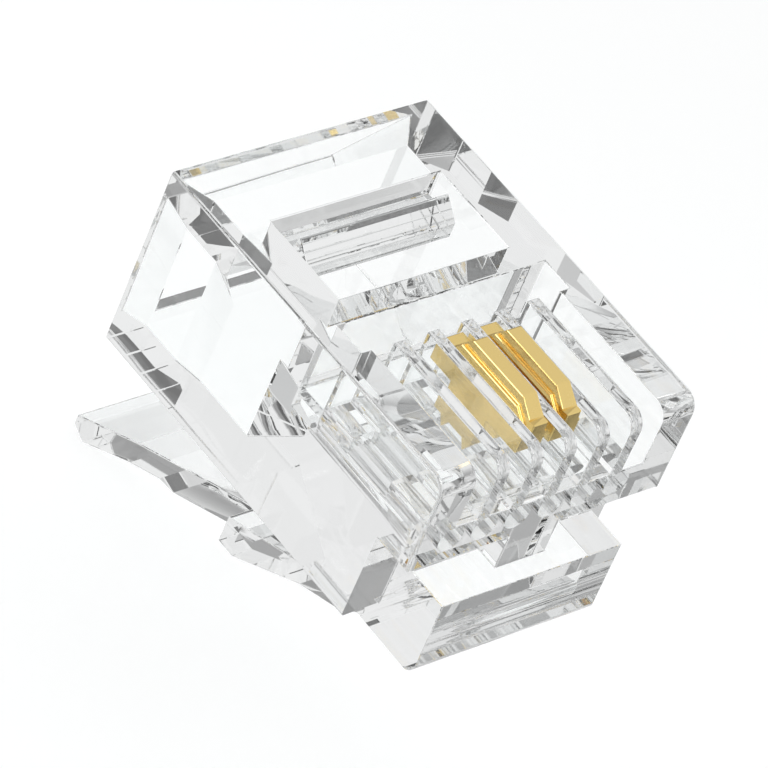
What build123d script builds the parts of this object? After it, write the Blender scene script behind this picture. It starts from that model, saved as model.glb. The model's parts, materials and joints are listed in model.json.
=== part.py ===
from build123d import *
import os

os.makedirs("parts", exist_ok=True)

# A six position modular plug, loaded with two contacts and not yet crimped.
# The origin is the centre of the cable mouth on the rear face.
# The nose points along -Y, the contact side is +Z and X runs across the plug.
# Side profiles are drawn as (distance forward of the rear face, height above the underside).

# Body
body_width = 9.65
body_height = 6.60
body_length = 12.88
front_top_radius = 0.55
overhang_height = 3.14
flange_setback = 1.37
side_edge_radius = 0.10

# Nose block, its lip and the recess over it
nose_width = 6.84
nose_reach = 0.64
nose_drop = 0.96
nose_edge_radius = 0.40
nose_depth = 2.58
lip_height = 1.89
recess_depth = 0.80
centre_block_width = 1.90

# Cable cavity, a flared mouth, a straight part and a throat under the anchor bar
mouth_width = 8.70
mouth_ceiling = 5.55
mouth_depth = 0.85
cavity_width = 7.30
cavity_floor = 1.07
cavity_ceiling = 5.00
cavity_end = 2.25
throat_width = 6.40
throat_ceiling = 4.20
throat_start = 3.20
throat_end = 5.50

# Funnel from the throat to the row of conductors
funnel_end = 7.50
funnel_end_width = 7.54
funnel_end_floor = 3.10
funnel_end_ceiling = 4.10

# Window over the cable anchor bar
window_rear = 2.61
window_length = 3.26
window_width = throat_width
window_floor = 3.90

# Cable anchor bar
anchor_width = 5.60
anchor_ridge = 3.43
anchor_ridge_flat = 0.10
anchor_toe = 4.13
anchor_toe_height = 6.04
anchor_back_lean = 0.13
anchor_web_height = 6.05
anchor_web_floor = 5.50
anchor_rear_gap = 0.06

# Trough over the conductor bar
trough_rear = 6.70
trough_length = 1.14
trough_width = 7.84
trough_floor = 4.42

# Conductor bar
conductor_bar_thickness = 0.36
running_clearance = 0.05

# Conductor channels and the slots over them
position_count = 6
position_pitch = 1.257
slot_width = 0.807
slot_sill = 4.50
channel_diameter = 0.92
channel_height = 3.60

# Contacts, their heights given as depths under the crown, which sets how far they stand proud
contact_width = 0.72
crown_width = 0.53
crown_height = 7.15
crown_depth = 0.35
crown_rear = 8.97
crown_front = 11.25
contact_rear = 8.08
contact_front = 12.02
heel_depth = 0.70
heel_length = 0.40
crown_nose_drop = 0.45
crown_nose_run = 0.53
contact_body_depth = 1.40
stem_rear = 9.05
stem_front = 10.73
stem_depth = 2.30
tooth_depth = 2.85
tooth_thickness = 0.30
tooth_count = 2
tooth_pitch = 0.98
tooth_root_width = 0.60

# Latch
latch_width = nose_width
latch_shoulder = 5.50
latch_shoulder_top = -2.47
latch_shoulder_thickness = 0.98
latch_shoulder_flat = 0.67
latch_belly_rise = 0.555
latch_knee = 8.74
latch_neck = 10.26
latch_neck_height = -1.49
hinge_radius = 0.22
hinge_clearance = 0.03

# Latch tongue, the rises being slopes
tongue_width = 3.20
tongue_tip = -2.50
tongue_rise = 0.435
tongue_shoulder_drop = 0.58
tongue_thickness = 1.06
tongue_tip_thickness = 0.83
tongue_step_start = 1.25
tongue_step_end = 1.93
tongue_kink = 0.0
tongue_tip_rise = 0.495
tongue_tip_face = 0.35
tongue_tip_chamfer = 0.55
tongue_keel_end = 7.60

# Places worked out from the sizes above
underside = -(cavity_floor + mouth_ceiling) / 2
side_plane = Plane(origin=(0, 0, underside), x_dir=(0, -1, 0), z_dir=(-1, 0, 0))
flange_front = body_length - flange_setback
recess_back = body_length - recess_depth
nose_front = body_length + nose_reach
nose_back = nose_front - nose_depth
trough_front = trough_rear + trough_length
channel_front = contact_front + running_clearance
hinge_forward = nose_back
hinge_height = hinge_radius - nose_drop
position_xs = [(i - (position_count - 1) / 2) * position_pitch for i in range(position_count)]
loaded_positions = (position_count // 2, position_count // 2 + 1)


def section_plane(forward):
    """Plane across the plug, this far forward of the rear face, its heights above the underside."""
    return Plane(origin=(0, -forward, underside), x_dir=(1, 0, 0), z_dir=(0, -1, 0))


def level_plane(height):
    """Plane at this height above the underside, its second axis running forward to the nose."""
    return Plane(origin=(0, 0, underside + height), x_dir=(-1, 0, 0), z_dir=(0, 0, 1))


# Cable cavity and its funnel, as a solid to cut out of the housing
with BuildPart() as cavity:
    with BuildSketch(side_plane):
        with BuildLine():
            Polyline(
                (0, cavity_floor),
                (throat_end, cavity_floor),
                (funnel_end, funnel_end_floor),
                (funnel_end, funnel_end_ceiling),
                (throat_end, throat_ceiling),
                (throat_start, throat_ceiling),
                (cavity_end, cavity_ceiling),
                (mouth_depth, cavity_ceiling),
                (0, mouth_ceiling),
                close=True,
            )
        make_face()
    extrude(amount=mouth_width / 2, both=True)
    plan = [
        (mouth_width / 2, 0),
        (cavity_width / 2, mouth_depth),
        (cavity_width / 2, cavity_end),
        (throat_width / 2, throat_start),
        (throat_width / 2, throat_end),
        (funnel_end_width / 2, funnel_end),
    ]
    with BuildSketch(level_plane(0)):
        with BuildLine():
            Polyline(*plan, *[(-x, forward) for x, forward in reversed(plan)], close=True)
        make_face()
    extrude(amount=body_height, mode=Mode.INTERSECT)

# Housing
with BuildPart() as housing:
    # Full-width body, with the overhanging upper front
    with BuildSketch(side_plane):
        with BuildLine():
            Polyline(
                (0, 0),
                (flange_front, 0),
                (flange_front, overhang_height),
                (body_length, overhang_height),
                (body_length, body_height),
                (0, body_height),
                close=True,
            )
        make_face()
    extrude(amount=body_width / 2, both=True)
    front_top = housing.edges().filter_by(Axis.X).sort_by(Axis.Z)[-2:].sort_by(Axis.Y)[0]
    fillet(front_top, radius=front_top_radius)
    fillet(housing.edges().filter_by(Axis.Y), radius=side_edge_radius)

    # Nose block, whose lip reaches past the upper front
    with BuildSketch(side_plane):
        with BuildLine():
            Polyline(
                (nose_back, -nose_drop),
                (nose_front, -nose_drop),
                (nose_front, lip_height),
                (recess_back, lip_height),
                (recess_back, overhang_height),
                (recess_back, slot_sill),
                (nose_back, slot_sill),
                close=True,
            )
        make_face()
    extrude(amount=nose_width / 2, both=True)
    nose_edges = housing.edges().filter_by(Axis.X).group_by(Axis.Y)[0]
    fillet(nose_edges.sort_by(Axis.Z)[0], radius=nose_edge_radius)

    # Centre block between the lip and the overhang
    with BuildSketch(section_plane(recess_back)):
        with Locations((0, (lip_height + overhang_height) / 2)):
            Rectangle(centre_block_width, overhang_height - lip_height)
    extrude(amount=recess_depth)

    # Socket for the latch's root along the back of the nose block
    with BuildSketch(side_plane):
        with Locations((hinge_forward, hinge_height)):
            Circle(hinge_radius + hinge_clearance)
    extrude(amount=nose_width / 2, both=True, mode=Mode.SUBTRACT)

    # Cable cavity, where its side profile and its plan meet
    add(cavity.part, mode=Mode.SUBTRACT)

    # Window over the cable anchor bar, down into the throat
    with BuildSketch(level_plane(body_height)):
        with Locations((0, window_rear + window_length / 2)):
            Rectangle(window_width, window_length)
    extrude(amount=window_floor - body_height, mode=Mode.SUBTRACT)

    # Trough, down to the middle of the conductors so that their bar can press on them
    with BuildSketch(level_plane(body_height)):
        with Locations((0, trough_rear + trough_length / 2)):
            Rectangle(trough_width, trough_length)
    extrude(amount=channel_height - body_height, mode=Mode.SUBTRACT)

    # Slots that open through the top and the upper front
    with BuildSketch(level_plane(body_height)):
        with Locations([(x, (trough_front + body_length) / 2) for x in position_xs]):
            Rectangle(slot_width, body_length - trough_front)
    extrude(amount=slot_sill - body_height, mode=Mode.SUBTRACT)

    # Pockets through the sill for the contacts' stems
    with BuildSketch(level_plane(slot_sill)):
        with Locations([(x, (stem_rear + stem_front) / 2) for x in position_xs]):
            Rectangle(slot_width, stem_front - stem_rear + 2 * running_clearance)
    extrude(amount=channel_height - slot_sill, mode=Mode.SUBTRACT)

    # Conductor channels, from the funnel to past the contacts
    with BuildSketch(section_plane(funnel_end)):
        with Locations([(x, channel_height) for x in position_xs]):
            Circle(channel_diameter / 2)
    extrude(amount=channel_front - funnel_end, mode=Mode.SUBTRACT)

housing.part.label = "housing"
export_step(housing.part, "parts/housing.step")

# Latch with its two locking shoulders, its keel and its tongue
shoulder_floor = latch_shoulder_top - latch_shoulder_thickness
belly_start = latch_shoulder + latch_shoulder_flat


def belly_height(forward):
    """Height of the latch's underside between the shoulder flat and the knee."""
    return shoulder_floor + latch_belly_rise * (forward - belly_start)


def tongue_top(forward):
    """Height of the tongue's upper face between the kink and the shoulder."""
    at_shoulder = latch_shoulder_top - tongue_shoulder_drop
    return at_shoulder + tongue_rise * (forward - latch_shoulder)


with BuildPart() as latch:
    with BuildSketch(side_plane):
        with BuildLine():
            Polyline(
                (latch_shoulder, latch_shoulder_top),
                (latch_shoulder, shoulder_floor),
                (belly_start, shoulder_floor),
                (latch_knee, belly_height(latch_knee)),
                (latch_neck, latch_neck_height),
                (hinge_forward, -nose_drop),
                (hinge_forward, hinge_height + hinge_radius),
                close=True,
            )
        make_face()
        with Locations((hinge_forward, hinge_height)):
            Circle(hinge_radius)
    extrude(amount=latch_width / 2, both=True)

    tip_top = tongue_top(tongue_kink) + tongue_tip_rise * (tongue_tip - tongue_kink)
    tip_floor = tip_top - tongue_tip_face - tongue_tip_chamfer * tongue_tip_rise
    with BuildSketch(side_plane):
        with BuildLine():
            Polyline(
                (belly_start, tongue_top(belly_start)),
                (tongue_kink, tongue_top(tongue_kink)),
                (tongue_tip, tip_top),
                (tongue_tip, tip_top - tongue_tip_face),
                (tongue_tip + tongue_tip_chamfer, tip_floor),
                (tongue_kink, tongue_top(tongue_kink) - tongue_tip_thickness),
                (tongue_step_start, tongue_top(tongue_step_start) - tongue_tip_thickness),
                (tongue_step_end, tongue_top(tongue_step_end) - tongue_thickness),
                (latch_shoulder, tongue_top(latch_shoulder) - tongue_thickness),
                (tongue_keel_end, belly_height(tongue_keel_end)),
                close=True,
            )
        make_face()
    extrude(amount=tongue_width / 2, both=True)

latch.part.label = "latch"
export_step(latch.part, "parts/latch.step")

# Cable anchor bar, a ridge that hangs on a web at the rear of the window
bar_rear = window_rear + anchor_rear_gap
anchor_back = anchor_ridge - anchor_back_lean
with BuildPart() as cable_anchor_bar:
    with BuildSketch(side_plane):
        with BuildLine():
            Polyline(
                (bar_rear, anchor_web_floor),
                (anchor_toe, anchor_web_floor),
                (anchor_toe, anchor_toe_height),
                (anchor_ridge + anchor_ridge_flat, body_height),
                (anchor_ridge, body_height),
                (anchor_back, anchor_web_height),
                (bar_rear, anchor_web_height),
                close=True,
            )
        make_face()
    extrude(amount=anchor_width / 2, both=True)
cable_anchor_bar.part.label = "cable_anchor_bar"
export_step(cable_anchor_bar.part, "parts/cable_anchor_bar.step")

# Conductor bar, the floor of the trough
with BuildPart() as conductor_bar:
    with BuildSketch(level_plane(trough_floor)):
        with Locations((0, trough_rear + trough_length / 2)):
            Rectangle(trough_width - 2 * running_clearance, trough_length - 2 * running_clearance)
    extrude(amount=-conductor_bar_thickness)
conductor_bar.part.label = "conductor_bar"
export_step(conductor_bar.part, "parts/conductor_bar.step")

# Contacts, each a blade with a narrower crown over its shoulders and teeth below
crown_shoulder = crown_height - crown_depth
heel_height = crown_height - heel_depth
contact_body_floor = crown_height - contact_body_depth
stem_floor = crown_height - stem_depth
tooth_tip = crown_height - tooth_depth
heel_end = contact_rear + heel_length
crown_ramp_slope = (crown_height - heel_height) / (crown_rear - heel_end)
nose_bend = crown_front + crown_nose_run
nose_bend_height = crown_height - crown_nose_drop
for position in loaded_positions:
    contact_x = position_xs[position - 1]
    blade_plane = Plane(side_plane.origin + Vector(contact_x, 0, 0), side_plane.x_dir, side_plane.z_dir)
    with BuildPart() as contact:
        # Blade, up to the shoulders of the crown
        with BuildSketch(blade_plane):
            with BuildLine():
                Polyline(
                    (contact_rear, contact_body_floor),
                    (contact_front, contact_body_floor),
                    (contact_front, nose_bend_height - crown_depth),
                    (nose_bend, nose_bend_height - crown_depth),
                    (crown_front, crown_shoulder),
                    (heel_end + (crown_shoulder - heel_height) / crown_ramp_slope, crown_shoulder),
                    (heel_end, heel_height),
                    (contact_rear, heel_height),
                    close=True,
                )
            make_face()
        extrude(amount=contact_width / 2, both=True)

        # Crown, which the mating spring slides over
        with BuildSketch(blade_plane):
            with BuildLine():
                Polyline(
                    (heel_end, heel_height),
                    (crown_rear, crown_height),
                    (crown_front, crown_height),
                    (nose_bend, nose_bend_height),
                    (contact_front, nose_bend_height),
                    (contact_front, contact_body_floor),
                    (heel_end, contact_body_floor),
                    close=True,
                )
            make_face()
        extrude(amount=crown_width / 2, both=True)

        # Stem, narrower than the blade
        with BuildSketch(blade_plane):
            with BuildLine():
                Polyline(
                    (stem_rear, contact_body_floor),
                    (stem_rear, stem_floor),
                    (stem_front, stem_floor),
                    (stem_front, contact_body_floor),
                    close=True,
                )
            make_face()
        extrude(amount=contact_width / 2, both=True)

        # Teeth that pierce the conductor when the plug is crimped
        tooth_middle = (stem_rear + stem_front) / 2
        with BuildSketch(blade_plane):
            for i in range(tooth_count):
                tooth_at = tooth_middle + (i - (tooth_count - 1) / 2) * tooth_pitch
                with BuildLine():
                    Polyline(
                        (tooth_at - tooth_root_width / 2, stem_floor),
                        (tooth_at, tooth_tip),
                        (tooth_at + tooth_root_width / 2, stem_floor),
                        close=True,
                    )
                make_face()
        extrude(amount=tooth_thickness / 2, both=True)
    contact.part.label = f"contact_{position}"
    export_step(contact.part, f"parts/contact_{position}.step")
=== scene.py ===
"""Looks of a clear six position modular plug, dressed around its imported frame."""

import json
import logging
import math
from dataclasses import dataclass
from enum import Enum

import bmesh
import bpy
from mathutils import Matrix, Vector


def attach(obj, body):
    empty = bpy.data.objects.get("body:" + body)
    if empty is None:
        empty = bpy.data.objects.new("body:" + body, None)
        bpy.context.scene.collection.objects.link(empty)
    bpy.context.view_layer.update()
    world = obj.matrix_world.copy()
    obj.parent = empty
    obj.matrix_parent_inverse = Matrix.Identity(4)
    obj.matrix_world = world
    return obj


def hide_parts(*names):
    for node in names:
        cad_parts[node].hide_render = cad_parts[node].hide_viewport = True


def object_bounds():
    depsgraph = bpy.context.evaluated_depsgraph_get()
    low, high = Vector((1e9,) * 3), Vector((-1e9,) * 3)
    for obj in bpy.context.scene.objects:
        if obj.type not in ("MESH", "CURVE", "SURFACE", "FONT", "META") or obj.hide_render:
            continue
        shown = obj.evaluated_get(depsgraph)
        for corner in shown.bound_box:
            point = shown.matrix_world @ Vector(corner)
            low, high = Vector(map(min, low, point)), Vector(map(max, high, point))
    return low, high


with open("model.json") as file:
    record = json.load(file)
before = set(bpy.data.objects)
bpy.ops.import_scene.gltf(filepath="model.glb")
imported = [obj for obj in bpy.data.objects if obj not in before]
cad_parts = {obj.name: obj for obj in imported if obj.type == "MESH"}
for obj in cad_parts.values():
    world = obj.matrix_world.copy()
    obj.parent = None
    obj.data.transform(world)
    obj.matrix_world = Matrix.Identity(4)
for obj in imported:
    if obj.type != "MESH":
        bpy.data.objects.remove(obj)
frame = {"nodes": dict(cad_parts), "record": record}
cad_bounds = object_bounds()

MM = 0.001

# The block that holds the conductor channels, whose edges stay sharp
CHANNELS_CEILING_MM = 1.25
CHANNELS_FLOOR_MM = -0.45
CHANNELS_FRONT_MM = -12.2
CHANNELS_REAR_MM = -7.4
CHANNELS_HALF_WIDTH_MM = 3.9

# A ray's count of mirrored steps is below this until some face has mirrored it
FIRST_MIRRORED_STEP = 0.5

log = logging.getLogger("modular_plug")


def linear(hex_colour: str) -> tuple[float, float, float, float]:
    """Turns an sRGB hex colour to linear light.

    Args:
        hex_colour: six hex digits, such as "E2C47C".

    Returns:
        Red, green, blue and an alpha of 1, linear.
    """
    def channel(value: float) -> float:
        """One channel from sRGB to linear."""
        return value / 12.92 if value <= 0.04045 else ((value + 0.055) / 1.055) ** 2.4

    parts = [int(hex_colour[i:i + 2], 16) / 255 for i in (0, 2, 4)]
    return (*[channel(p) for p in parts], 1.0)


def add_node(tree: bpy.types.NodeTree, kind: str, settings: dict | None = None,
             inputs: dict | None = None) -> bpy.types.Node:
    """Adds one shader node.

    Args:
        tree: the node tree that takes it.
        kind: the node's type name.
        settings: attributes to set on the node.
        inputs: values or output sockets for its inputs, by name or number.

    Returns:
        The new node.
    """
    node = tree.nodes.new(kind)
    for name, value in (settings or {}).items():
        setattr(node, name, value)
    for key, value in (inputs or {}).items():
        socket = node.inputs[key]
        if isinstance(value, bpy.types.NodeSocket):
            tree.links.new(value, socket)
        else:
            socket.default_value = value
    return node


def new_material(name: str) -> tuple[bpy.types.Material, bpy.types.NodeTree, bpy.types.Node]:
    """Makes an empty node material.

    Args:
        name: the material's name.

    Returns:
        The material, its node tree and its output node.
    """
    material = bpy.data.materials.new(name)
    material.use_nodes = True
    tree = material.node_tree
    tree.nodes.clear()
    output = add_node(tree, "ShaderNodeOutputMaterial")
    return material, tree, output


class Slot(Enum):
    """The record's material slots."""

    CLEAR = "clear_polycarbonate"
    GOLD = "gold_plate"


@dataclass(frozen=True)
class PolishedPolycarbonate:
    """Clear polycarbonate from a polished mould.

    Its high index bends what lies behind it strongly and mirrors it inside at every wall, so the eye
    reads bright faces between dark, sharp edges. The moulded faces wave by a few microns, which bends
    what they mirror into soft streaks. Each face lets lamp_share of the lamps' light straight through.
    """

    name: str = "moulded_clear_polycarbonate"
    tint: str = "FEFFFF"
    index: float = 1.585
    roughness: float = 0.0
    lamp_share: float = 0.97
    wave_mm: float = 1.9
    wave_height_mm: float = 0.0035
    wave_detail: float = 0.0

    def build(self) -> bpy.types.Material:
        """Returns the material."""
        material, tree, output = new_material(self.name)
        place = add_node(tree, "ShaderNodeTexCoord").outputs["Object"]
        wave = add_node(tree, "ShaderNodeTexNoise", inputs={
            "Vector": place, "Scale": 1 / (self.wave_mm * MM), "Detail": self.wave_detail,
        })
        wavy = add_node(tree, "ShaderNodeBump", inputs={
            "Strength": 1.0, "Distance": self.wave_height_mm * MM, "Height": wave.outputs["Fac"],
        })
        surface = add_node(tree, "ShaderNodeBsdfPrincipled", inputs={
            "Normal": wavy.outputs["Normal"],
            "Base Color": linear(self.tint),
            "Roughness": self.roughness,
            "IOR": self.index,
            "Transmission Weight": 1.0,
        })
        lamp_rays = add_node(tree, "ShaderNodeLightPath").outputs["Is Shadow Ray"]
        passing = add_node(tree, "ShaderNodeBsdfTransparent", inputs={"Color": (*[self.lamp_share] * 3, 1.0)})
        skin = add_node(tree, "ShaderNodeMixShader", inputs={
            0: lamp_rays, 1: surface.outputs[0], 2: passing.outputs[0],
        })
        tree.links.new(skin.outputs[0], output.inputs["Surface"])
        return material


@dataclass(frozen=True)
class GoldPlate:
    """Hard gold over nickel on stamped phosphor bronze.

    The stamped faces are smooth but not mirrors, so they take broad, soft highlights of warm yellow.
    """

    name: str = "gold_plated_bronze"
    colour: str = "F1D58C"
    roughness_least: float = 0.19
    roughness_most: float = 0.31
    grain_mm: float = 0.05
    grain_detail: float = 2.0

    def build(self) -> bpy.types.Material:
        """Returns the material."""
        material, tree, output = new_material(self.name)
        place = add_node(tree, "ShaderNodeTexCoord").outputs["Object"]
        grain = add_node(tree, "ShaderNodeTexNoise", inputs={
            "Vector": place, "Scale": 1 / (self.grain_mm * MM), "Detail": self.grain_detail,
        })
        spread = add_node(tree, "ShaderNodeMapRange", inputs={
            "Value": grain.outputs["Fac"], "To Min": self.roughness_least, "To Max": self.roughness_most,
        })
        surface = add_node(tree, "ShaderNodeBsdfPrincipled", inputs={
            "Base Color": linear(self.colour),
            "Metallic": 1.0,
            "Roughness": spread.outputs["Result"],
        })
        tree.links.new(surface.outputs[0], output.inputs["Surface"])
        return material


def nodes_in(slot: Slot) -> list[str]:
    """Lists the nodes that the record puts in a slot.

    Args:
        slot: the slot.

    Returns:
        The nodes' names.
    """
    return [row["node"] for row in frame["record"]["subparts"] if row["material_slot"] == slot.value]


def body_of(node: str) -> str:
    """Finds the body that carries a node.

    Args:
        node: the node's name.

    Returns:
        The body's name.
    """
    bodies = frame["record"]["behaviour"]["bodies"]
    return next(body for body, members in bodies.items() if node in members)


@dataclass
class RoundedCopy:
    """A node's own shape with the small radii that a mould or a die leaves along its corners.

    The radii are what draws a clear moulding: each bends the light off to the dark parts of the room,
    so the eye sees a thin line along every corner.
    """

    node: str
    radius_mm: float
    segments: int = 2
    merge_mm: float = 0.0001
    flat_deg: float = 0.3
    corner_deg: float = 35.0
    shortest_mm: float = 0.24
    channels_sharp: bool = False

    def corners(self, shape: bmesh.types.BMesh) -> list[bmesh.types.BMEdge]:
        """Picks the edges to round.

        Args:
            shape: the merged node.

        Returns:
            Its corners, apart from short facets of round forms and, if channels_sharp is set, the edges
            of the conductor channels.
        """
        def is_inside(edge: bmesh.types.BMEdge) -> bool:
            """Tells the edges of the conductor channels, which are too fine to round."""
            middle = (edge.verts[0].co + edge.verts[1].co) / 2 / MM
            return (
                CHANNELS_FLOOR_MM < middle.z < CHANNELS_CEILING_MM
                and CHANNELS_FRONT_MM < middle.y < CHANNELS_REAR_MM
                and abs(middle.x) < CHANNELS_HALF_WIDTH_MM
            )

        return [
            edge for edge in shape.edges
            if edge.is_manifold and edge.calc_length() > self.shortest_mm * MM
            and edge.calc_face_angle() > math.radians(self.corner_deg)
            and not (self.channels_sharp and is_inside(edge))
        ]

    def build(self) -> bpy.types.Object:
        """Builds the copy, which stands for its node and rides on its body.

        Returns:
            The new object.
        """
        shape = bmesh.new()
        shape.from_mesh(frame["nodes"][self.node].data)
        bmesh.ops.remove_doubles(shape, verts=shape.verts, dist=self.merge_mm * MM)
        bmesh.ops.dissolve_limit(shape, angle_limit=math.radians(self.flat_deg), verts=shape.verts,
                                 edges=shape.edges, delimit={"NORMAL"})
        corners = self.corners(shape)
        bmesh.ops.bevel(shape, geom=corners, offset=self.radius_mm * MM, offset_type="OFFSET", affect="EDGES",
                        segments=self.segments, profile=0.5, material=-1, clamp_overlap=False)
        mesh = bpy.data.meshes.new(f"{self.node}_rounded")
        shape.to_mesh(mesh)
        shape.free()
        if "custom_normal" in mesh.attributes:
            mesh.attributes.remove(mesh.attributes["custom_normal"])
        piece = bpy.data.objects.new(f"{self.node}_rounded", mesh)
        bpy.context.collection.objects.link(piece)
        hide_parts(self.node)
        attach(piece, body_of(self.node))
        log.info("rounded %d corners of %s", len(corners), self.node)
        return piece


def dress(slot: Slot, material: bpy.types.Material, radius_mm: float, channels_sharp: bool = False) -> None:
    """Stands a rounded copy with its finish in for every node of a slot.

    Args:
        slot: the record's material slot.
        material: the finish.
        radius_mm: the radius along the corners.
        channels_sharp: leaves the edges of the conductor channels as they are.
    """
    for node in nodes_in(slot):
        piece = RoundedCopy(node, radius_mm, channels_sharp=channels_sharp).build()
        piece.data.materials.clear()
        piece.data.materials.append(material)


@dataclass
class ClearMouldings:
    """The housing and the moving parts moulded with it."""

    slot: Slot = Slot.CLEAR
    finish: PolishedPolycarbonate = PolishedPolycarbonate()
    corner_radius_mm: float = 0.035

    def build(self) -> None:
        """Rounds every moulding's corners and gives it its finish."""
        dress(self.slot, self.finish.build(), self.corner_radius_mm, channels_sharp=True)


@dataclass
class Contacts:
    """The gold-plated blades in the two middle slots."""

    slot: Slot = Slot.GOLD
    finish: GoldPlate = GoldPlate()
    corner_radius_mm: float = 0.03

    def build(self) -> None:
        """Rounds every blade's corners and gives it its finish."""
        dress(self.slot, self.finish.build(), self.corner_radius_mm)


def straight_share(tree: bpy.types.NodeTree) -> bpy.types.NodeSocket:
    """Tells rays that no face has mirrored from the others.

    Args:
        tree: the node tree that asks.

    Returns:
        A socket that is 1 for such rays and 0 for the others.
    """
    path = add_node(tree, "ShaderNodeLightPath")
    mirrored = add_node(tree, "ShaderNodeMath", {"operation": "ADD"},
                        {0: path.outputs["Glossy Depth"], 1: path.outputs["Diffuse Depth"]})
    straight = add_node(tree, "ShaderNodeMath", {"operation": "LESS_THAN"},
                        {0: mirrored.outputs[0], 1: FIRST_MIRRORED_STEP})
    return straight.outputs[0]


@dataclass(frozen=True)
class SoftLamp:
    """A square soft box, which shows in what the plug mirrors but not straight or through the plastic."""

    name: str
    place_mm: tuple[float, float, float]
    side_mm: float
    watts: float

    def build(self) -> None:
        """Hangs the lamp and turns it to the plug."""
        data = bpy.data.lights.new(self.name, "AREA")
        data.shape = "SQUARE"
        data.size = self.side_mm * MM
        data.energy = self.watts
        lamp = bpy.data.objects.new(self.name, data)
        bpy.context.collection.objects.link(lamp)
        place = Vector(self.place_mm) * MM
        lamp.matrix_world = Matrix.Translation(place) @ place.to_track_quat("Z", "Y").to_matrix().to_4x4()
        lamp.visible_camera = False
        lamp.visible_transmission = False
        log.info("hung %s", self.name)


@dataclass(frozen=True)
class Card:
    """A grey card round one direction of the room, which the plug's inner faces mirror as grey."""

    towards: tuple[float, float, float]
    inner_deg: float
    outer_deg: float
    level: float

    def shade(self, tree: bpy.types.NodeTree, direction: bpy.types.NodeSocket) -> bpy.types.NodeSocket:
        """Works out how far the card dims the room.

        Args:
            tree: the world's node tree.
            direction: the direction that is looked up.

        Returns:
            A socket that is the card's level on it and 1 away from it, soft at its rim.
        """
        along = add_node(tree, "ShaderNodeVectorMath", {"operation": "DOT_PRODUCT"},
                         {0: direction, 1: Vector(self.towards).normalized()})
        return add_node(tree, "ShaderNodeMapRange", {"interpolation_type": "SMOOTHSTEP"}, {
            "Value": along.outputs["Value"],
            "From Min": math.cos(math.radians(self.outer_deg)),
            "From Max": math.cos(math.radians(self.inner_deg)),
            "To Min": 1.0, "To Max": self.level,
        }).outputs["Result"]


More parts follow.
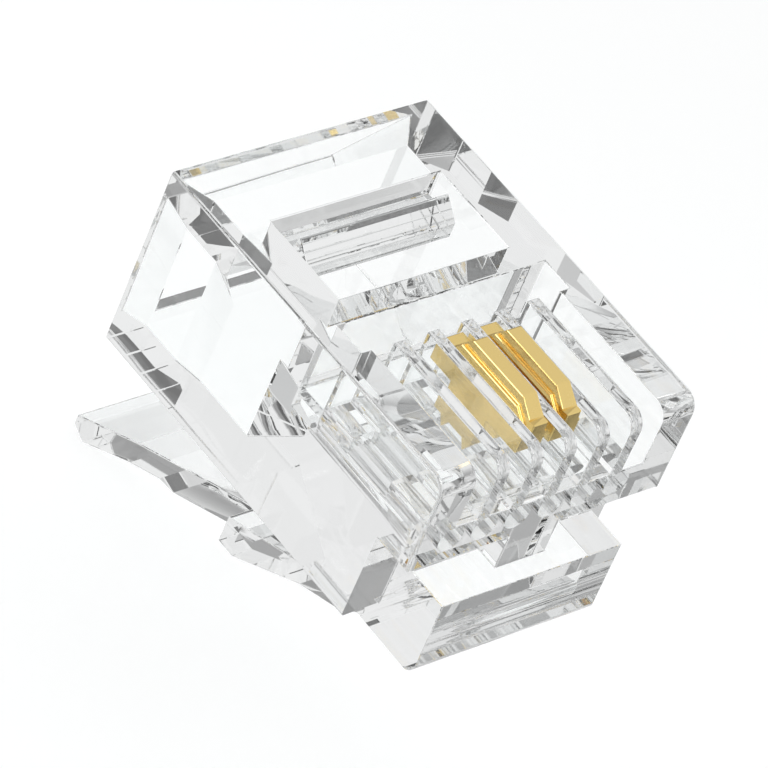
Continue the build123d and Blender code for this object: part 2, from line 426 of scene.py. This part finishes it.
@dataclass
class Studio:
    """White floor, soft lamps and the camera.

    What shows straight down through the plug is white, and what its faces bend upwards is grey. What they
    mirror is a pale room with a grey wall behind, a grey card high on the left, and dark cards low on both
    sides and in front, which draw the edges. room_level is the bare room's light, and above_level is what
    rays meet that are bent upwards.
    """

    floor_side_mm: float = 1600.0
    floor_gap_mm: float = 0.02
    floor_colour: str = "DCDDDD"
    floor_glow: float = 0.26
    eye_mm: tuple[float, float, float] = (-111.676, -86.458, 114.226)
    right: tuple[float, float, float] = (0.74570, -0.58817, 0.31304)
    up: tuple[float, float, float] = (0.23733, 0.67349, 0.70006)
    lens_mm: float = 296.2
    sensor_mm: float = 36.0
    near_clip_mm: float = 10.0
    path_steps: int = 32
    mirrored_steps: int = 24
    room_level: float = 0.85
    above_level: float = 0.46
    cards: tuple[Card, ...] = (
        Card((0.15, 1.00, 0.05), 26.0, 58.0, 0.35),
        Card((-0.85, 0.10, 0.52), 20.0, 38.0, 0.45),
        Card((-0.62, -0.56, -0.56), 20.0, 33.0, 0.04),
        Card((0.59, -0.26, -0.76), 13.0, 23.0, 0.15),
        Card((-0.35, -0.90, -0.22), 14.0, 27.0, 0.30),
        Card((-0.38, -0.78, 0.50), 10.0, 22.0, 0.15),
    )
    lamps: tuple[SoftLamp, ...] = (
        SoftLamp("key_lamp", (-140.0, -210.0, 300.0), 220.0, 0.55),
        SoftLamp("side_lamp", (-260.0, 130.0, 70.0), 200.0, 0.45),
    )

    def room_brightness(self, tree: bpy.types.NodeTree) -> bpy.types.NodeSocket:
        """Works out how bright the room is in each direction.

        Args:
            tree: the world's node tree.

        Returns:
            A socket with the strength of the room's light.
        """
        direction = add_node(tree, "ShaderNodeTexCoord").outputs["Generated"]
        level = add_node(tree, "ShaderNodeValue").outputs[0]
        level.default_value = self.room_level
        for card in self.cards:
            level = add_node(tree, "ShaderNodeMath", {"operation": "MULTIPLY"},
                             {0: level, 1: card.shade(tree, direction)}).outputs[0]
        return level

    def light_world(self) -> None:
        """Sets the room around the plug."""
        world = bpy.data.worlds.new("studio")
        bpy.context.scene.world = world
        world.use_nodes = True
        tree = world.node_tree
        tree.nodes.clear()
        room = add_node(tree, "ShaderNodeBackground",
                        inputs={"Color": (1, 1, 1, 1), "Strength": self.room_brightness(tree)})
        seen_directly = add_node(tree, "ShaderNodeLightPath").outputs["Is Camera Ray"]
        above = add_node(tree, "ShaderNodeMapRange", inputs={
            "Value": seen_directly, "To Min": self.above_level, "To Max": 1.0,
        }).outputs["Result"]
        unmirrored = add_node(tree, "ShaderNodeBackground", inputs={"Color": (1, 1, 1, 1), "Strength": above})
        mix = add_node(tree, "ShaderNodeMixShader", inputs={
            0: straight_share(tree), 1: room.outputs[0], 2: unmirrored.outputs[0],
        })
        output = add_node(tree, "ShaderNodeOutputWorld", inputs={"Surface": mix.outputs[0]})
        output.is_active_output = True

    def floor_paper(self) -> bpy.types.Material:
        """Makes the floor's matt white paper.

        Its own glow lifts it to white where the lamps reach it. What the plug's inner faces mirror passes
        through it to the room.

        Returns:
            The material.
        """
        material, tree, output = new_material("matt_white_paper")
        matt = add_node(tree, "ShaderNodeBsdfDiffuse", inputs={"Color": linear(self.floor_colour)})
        glow = add_node(tree, "ShaderNodeEmission", inputs={"Strength": self.floor_glow})
        paper = add_node(tree, "ShaderNodeAddShader", inputs={0: matt.outputs[0], 1: glow.outputs[0]})
        passing = add_node(tree, "ShaderNodeBsdfTransparent")
        mix = add_node(tree, "ShaderNodeMixShader", inputs={
            0: straight_share(tree), 1: passing.outputs[0], 2: paper.outputs[0],
        })
        tree.links.new(mix.outputs[0], output.inputs["Surface"])
        return material

    def lay_floor(self) -> None:
        """Lays the floor just under the lowest point of the plug."""
        mesh = bpy.data.meshes.new("floor")
        sheet = bmesh.new()
        bmesh.ops.create_grid(sheet, x_segments=1, y_segments=1, size=self.floor_side_mm * MM / 2)
        bmesh.ops.translate(sheet, verts=sheet.verts, vec=(0, 0, cad_bounds[0][2] - self.floor_gap_mm * MM))
        sheet.to_mesh(mesh)
        sheet.free()
        mesh.materials.append(self.floor_paper())
        floor = bpy.data.objects.new("floor", mesh)
        bpy.context.collection.objects.link(floor)

    def place_camera(self) -> None:
        """Puts the camera at the photograph's viewing angle."""
        data = bpy.data.cameras.new("camera")
        data.lens = self.lens_mm
        data.sensor_width = self.sensor_mm
        data.clip_start = self.near_clip_mm * MM
        camera = bpy.data.objects.new("camera", data)
        bpy.context.collection.objects.link(camera)
        right, up = Vector(self.right).normalized(), Vector(self.up)
        back = right.cross(up).normalized()
        up = back.cross(right)
        turn = Matrix((right, up, back)).transposed().to_4x4()
        camera.matrix_world = Matrix.Translation(Vector(self.eye_mm) * MM) @ turn
        bpy.context.scene.camera = camera

    def deepen_paths(self) -> None:
        """Lets light pass through all the walls of the plug, which would show black otherwise."""
        cycles = bpy.context.scene.cycles
        cycles.max_bounces = self.path_steps
        cycles.transmission_bounces = self.path_steps
        cycles.glossy_bounces = self.mirrored_steps

    def build(self) -> None:
        """Builds the stage."""
        self.light_world()
        self.lay_floor()
        for lamp in self.lamps:
            lamp.build()
        self.place_camera()
        self.deepen_paths()
        log.info("studio ready")


def main() -> None:
    """Dresses the plug and sets its stage."""
    logging.basicConfig(level=logging.INFO, format="%(name)s: %(message)s")
    ClearMouldings().build()
    Contacts().build()
    Studio().build()
    bpy.context.scene.view_settings.view_transform = "Standard"


if __name__ == "__main__":
    main()
